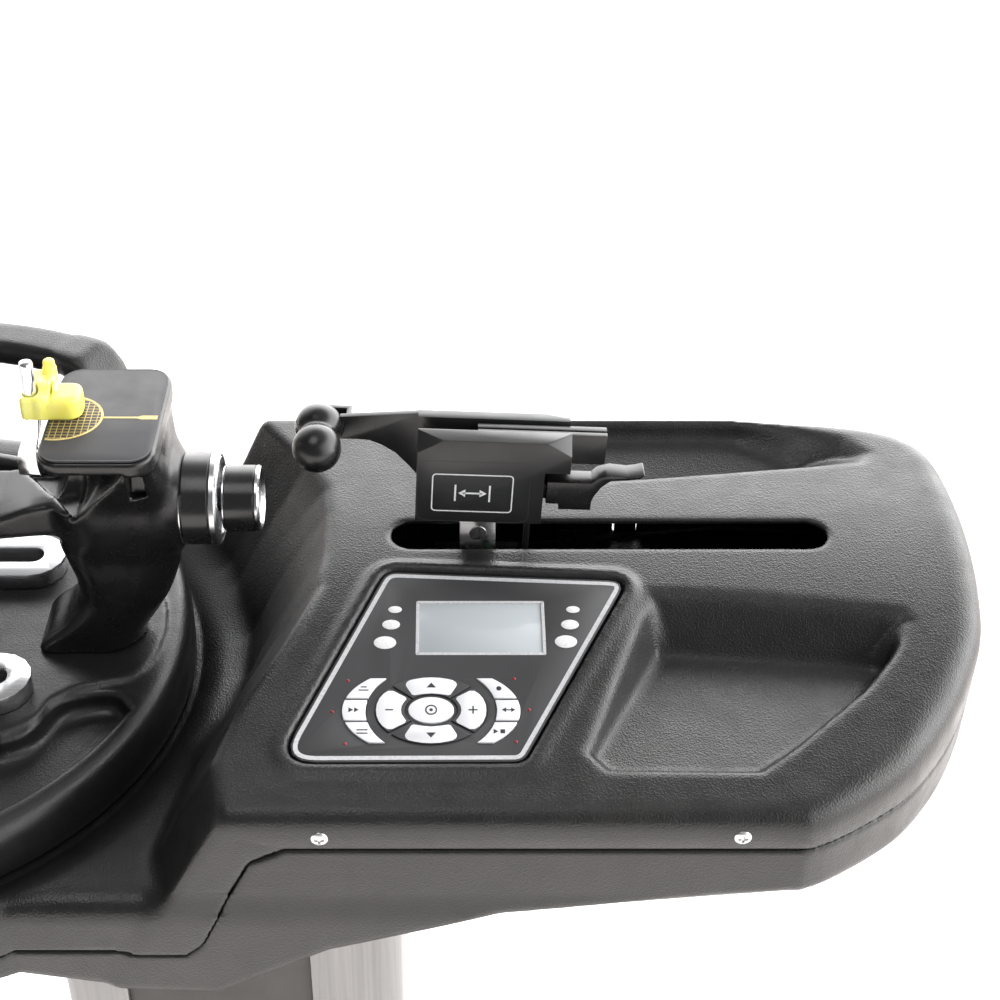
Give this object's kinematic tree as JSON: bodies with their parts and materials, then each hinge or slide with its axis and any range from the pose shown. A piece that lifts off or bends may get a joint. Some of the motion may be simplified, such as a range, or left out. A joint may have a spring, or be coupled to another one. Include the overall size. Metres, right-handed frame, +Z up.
{
  "type": "racket stringing machine",
  "caption": "Floor-standing racket stringing machine: turntable with racket towers and string clamps, electronic tension head in a slotted deck, key panel, trays, column and base.",
  "frame": {"origin": "on the floor, under the middle of the deck's outline", "axes": "+Z up; +X towards the tension end of the deck; the operator and the key panel are on the -Y side"},
  "size_m": [0.9707, 0.5137, 1.124],
  "materials": {
    "shell": "black pebble-grained moulding",
    "cast": "satin black",
    "anodised": "black anodised, fine satin",
    "plate": "dark grey textured powder coat",
    "panel": "dark grey satin",
    "keys": "light grey satin",
    "display": "grey liquid crystal window",
    "steel": "brushed, bright",
    "chrome": "polished",
    "alloy": "satin anodised",
    "yellow": "translucent yellow",
    "rubber": "matt black",
    "zinc": "zinc plated",
    "board": "green laminate",
    "stand": "black powder coat",
    "cover": "dark grey insert",
    "black_plastic": "black, semi-gloss"
  },
  "bodies": {
    "stand": {"front_left_foot": "rubber", "front_right_foot": "rubber", "rear_left_foot": "rubber", "rear_right_foot": "rubber", "base_plate": "stand", "column": "alloy", "column_front_cover": "cover", "deck_top_shell": "shell", "deck_bottom_shell": "shell", "rear_handle": "shell", "control_panel": "panel", "lcd_window": "display", "chassis": "zinc", "tension_rail": "steel", "tension_motor": "zinc", "controller_board": "board", "power_inlet": "black_plastic"},
    "switch_rocker": {"power_switch": "black_plastic"},
    "turntable_body": {"turntable": "shell", "turntable_spindle": "steel", "front_clamp_guide": "steel", "rear_clamp_guide": "steel", "bridge": "cast"},
    "screw_body": {"lead_screw": "steel"},
    "carriage_body": {"tension_carriage": "steel"},
    "head_unit": {"head_body": "anodised", "head_side_bar": "anodised"},
    "jaw_front": {"front_jaw": "anodised"},
    "jaw_rear": {"rear_jaw": "anodised"},
    "guide_body": {"string_guide": "cast"},
    "trigger_body": {"trigger": "anodised"},
    "enter_key_body": {"enter_key": "keys"},
    "up_key_body": {"up_key": "keys"},
    "down_key_body": {"down_key": "keys"},
    "minus_key_body": {"minus_key": "keys"},
    "plus_key_body": {"plus_key": "keys"},
    "unit_key_body": {"unit_key": "keys"},
    "speed_key_body": {"speed_key": "keys"},
    "constant_key_body": {"constant_key": "keys"},
    "knot_key_body": {"knot_key": "keys"},
    "stretch_key_body": {"stretch_key": "keys"},
    "start_key_body": {"start_key": "keys"},
    "right_tower_body": {"right_tower": "cast", "right_tower_plate": "plate"},
    "right_collar_body": {"right_collar_knob": "black_plastic"},
    "right_fine_body": {"right_fine_knob": "black_plastic"},
    "right_hook_body": {"right_frame_hook": "chrome", "right_racket_support": "yellow"},
    "left_tower_body": {"left_tower": "cast", "left_tower_plate": "plate"},
    "left_collar_body": {"left_collar_knob": "black_plastic"},
    "left_fine_body": {"left_fine_knob": "black_plastic"},
    "left_hook_body": {"left_frame_hook": "chrome", "left_racket_support": "yellow"},
    "front_clamp_base_body": {"front_clamp_base": "anodised"},
    "front_clamp_head_body": {"front_clamp_head": "steel"},
    "front_clamp_lever_body": {"front_clamp_lever": "black_plastic"},
    "rear_clamp_base_body": {"rear_clamp_base": "anodised"},
    "rear_clamp_head_body": {"rear_clamp_head": "steel"},
    "rear_clamp_lever_body": {"rear_clamp_lever": "black_plastic"}
  },
  "joints": [
    {"name": "switch_rock", "type": "hinge", "parent": "stand", "child": "switch_rocker", "pos_m": [0.283, 0.1135, 0.916], "axis": [1, 0, 0], "range_deg": [-9, 9]},
    {"name": "turntable_spin", "type": "hinge", "parent": "stand", "child": "turntable_body", "pos_m": [-0.221, -0.014, 0.922], "axis": [0, 0, 1], "continuous": true},
    {"name": "carriage_travel", "type": "slide", "parent": "stand", "child": "carriage_body", "axis": [1, 0, 0], "range_m": [0, 0.17]},
    {"name": "screw_turn", "type": "hinge", "parent": "stand", "child": "screw_body", "pos_m": [0.176, -0.033, 0.954], "axis": [1, 0, 0], "range_deg": [-10, 6130]},
    {"name": "head_tilt", "type": "hinge", "parent": "carriage_body", "child": "head_unit", "pos_m": [0.176, -0.014, 1.029], "axis": [0, 1, 0], "range_deg": [-1.5, 1], "stiffness_Nm_per_rad": 60},
    {"name": "jaw_front_slide", "type": "slide", "parent": "head_unit", "child": "jaw_front", "axis": [0.9992, 0, -0.0401], "range_m": [0, 0.006], "stiffness_N_per_m": 300, "springref_m": -0.004},
    {"name": "jaw_rear_slide", "type": "slide", "parent": "head_unit", "child": "jaw_rear", "axis": [0.9992, 0, -0.0401], "range_m": [0, 0.006]},
    {"name": "guide_roll", "type": "hinge", "parent": "head_unit", "child": "guide_body", "pos_m": [0.0806, -0.014, 1.07086], "axis": [0, 1, 0], "continuous": true},
    {"name": "trigger_pull", "type": "hinge", "parent": "head_unit", "child": "trigger_body", "pos_m": [0.20933, -0.0175, 1.03667], "axis": [0, 1, 0], "range_deg": [0, 5], "stiffness_Nm_per_rad": 0.8, "springref_deg": -5.16},
    {"name": "enter_key_press", "type": "slide", "parent": "stand", "child": "enter_key_body", "axis": [0, 0.2079, -0.9781], "range_m": [0, 0.0008], "stiffness_N_per_m": 500, "springref_m": -0.0008},
    {"name": "up_key_press", "type": "slide", "parent": "stand", "child": "up_key_body", "axis": [0, 0.2079, -0.9781], "range_m": [0, 0.0008], "stiffness_N_per_m": 500, "springref_m": -0.0008},
    {"name": "down_key_press", "type": "slide", "parent": "stand", "child": "down_key_body", "axis": [0, 0.2079, -0.9781], "range_m": [0, 0.0008], "stiffness_N_per_m": 500, "springref_m": -0.0008},
    {"name": "minus_key_press", "type": "slide", "parent": "stand", "child": "minus_key_body", "axis": [0, 0.2079, -0.9781], "range_m": [0, 0.0008], "stiffness_N_per_m": 500, "springref_m": -0.0008},
    {"name": "plus_key_press", "type": "slide", "parent": "stand", "child": "plus_key_body", "axis": [0, 0.2079, -0.9781], "range_m": [0, 0.0008], "stiffness_N_per_m": 500, "springref_m": -0.0008},
    {"name": "unit_key_press", "type": "slide", "parent": "stand", "child": "unit_key_body", "axis": [0, 0.2079, -0.9781], "range_m": [0, 0.0008], "stiffness_N_per_m": 500, "springref_m": -0.0008},
    {"name": "speed_key_press", "type": "slide", "parent": "stand", "child": "speed_key_body", "axis": [0, 0.2079, -0.9781], "range_m": [0, 0.0008], "stiffness_N_per_m": 500, "springref_m": -0.0008},
    {"name": "constant_key_press", "type": "slide", "parent": "stand", "child": "constant_key_body", "axis": [0, 0.2079, -0.9781], "range_m": [0, 0.0008], "stiffness_N_per_m": 500, "springref_m": -0.0008},
    {"name": "knot_key_press", "type": "slide", "parent": "stand", "child": "knot_key_body", "axis": [0, 0.2079, -0.9781], "range_m": [0, 0.0008], "stiffness_N_per_m": 500, "springref_m": -0.0008},
    {"name": "stretch_key_press", "type": "slide", "parent": "stand", "child": "stretch_key_body", "axis": [0, 0.2079, -0.9781], "range_m": [0, 0.0008], "stiffness_N_per_m": 500, "springref_m": -0.0008},
    {"name": "start_key_press", "type": "slide", "parent": "stand", "child": "start_key_body", "axis": [0, 0.2079, -0.9781], "range_m": [0, 0.0008], "stiffness_N_per_m": 500, "springref_m": -0.0008},
    {"name": "right_tower_slide", "type": "slide", "parent": "turntable_body", "child": "right_tower_body", "axis": [1, 0, 0], "range_m": [-0.04, 0.004]},
    {"name": "right_collar_turn", "type": "hinge", "parent": "right_tower_body", "child": "right_collar_body", "pos_m": [0.004, -0.014, 1.026], "axis": [1, 0, 0], "range_deg": [-1450, 150]},
    {"name": "right_hook_slide", "type": "slide", "parent": "right_tower_body", "child": "right_hook_body", "axis": [1, 0, 0], "range_m": [-0.01, 0.004]},
    {"name": "right_fine_turn", "type": "hinge", "parent": "right_tower_body", "child": "right_fine_body", "pos_m": [0.029, -0.014, 1.026], "axis": [1, 0, 0], "range_deg": [-460, 190]},
    {"name": "left_tower_slide", "type": "slide", "parent": "turntable_body", "child": "left_tower_body", "axis": [-1, 0, 0], "range_m": [-0.04, 0.004]},
    {"name": "left_collar_turn", "type": "hinge", "parent": "left_tower_body", "child": "left_collar_body", "pos_m": [-0.446, -0.014, 1.026], "axis": [-1, 0, 0], "range_deg": [-1450, 150]},
    {"name": "left_hook_slide", "type": "slide", "parent": "left_tower_body", "child": "left_hook_body", "axis": [-1, 0, 0], "range_m": [-0.01, 0.004]},
    {"name": "left_fine_turn", "type": "hinge", "parent": "left_tower_body", "child": "left_fine_body", "pos_m": [-0.471, -0.014, 1.026], "axis": [-1, 0, 0], "range_deg": [-460, 190]},
    {"name": "front_clamp_slide", "type": "slide", "parent": "turntable_body", "child": "front_clamp_base_body", "axis": [1, 0, 0], "range_m": [-0.032, 0.106]},
    {"name": "front_clamp_swivel", "type": "hinge", "parent": "front_clamp_base_body", "child": "front_clamp_head_body", "pos_m": [-0.259, -0.074, 1.066], "axis": [0, 0, 1], "range_deg": [-60, 60]},
    {"name": "front_clamp_lever_pivot", "type": "hinge", "parent": "front_clamp_head_body", "child": "front_clamp_lever_body", "pos_m": [-0.233, -0.074, 1.075], "axis": [0, 1, 0], "range_deg": [0, 50]},
    {"name": "rear_clamp_slide", "type": "slide", "parent": "turntable_body", "child": "rear_clamp_base_body", "axis": [-1, 0, 0], "range_m": [-0.032, 0.106]},
    {"name": "rear_clamp_swivel", "type": "hinge", "parent": "rear_clamp_base_body", "child": "rear_clamp_head_body", "pos_m": [-0.183, 0.046, 1.066], "axis": [0, 0, 1], "range_deg": [-60, 60]},
    {"name": "rear_clamp_lever_pivot", "type": "hinge", "parent": "rear_clamp_head_body", "child": "rear_clamp_lever_body", "pos_m": [-0.209, 0.046, 1.075], "axis": [0, -1, 0], "range_deg": [0, 50]}
  ],
  "couplings": [
    {"joint": "screw_turn", "follows": "carriage_travel", "rad_per_m": 628.32},
    {"joint": "jaw_rear_slide", "follows": "jaw_front_slide", "ratio": 1},
    {"joint": "right_collar_turn", "follows": "right_tower_slide", "rad_per_m": 628.32},
    {"joint": "right_fine_turn", "follows": "right_hook_slide", "rad_per_m": 785.4},
    {"joint": "left_collar_turn", "follows": "left_tower_slide", "rad_per_m": 628.32},
    {"joint": "left_fine_turn", "follows": "left_hook_slide", "rad_per_m": 785.4}
  ]
}
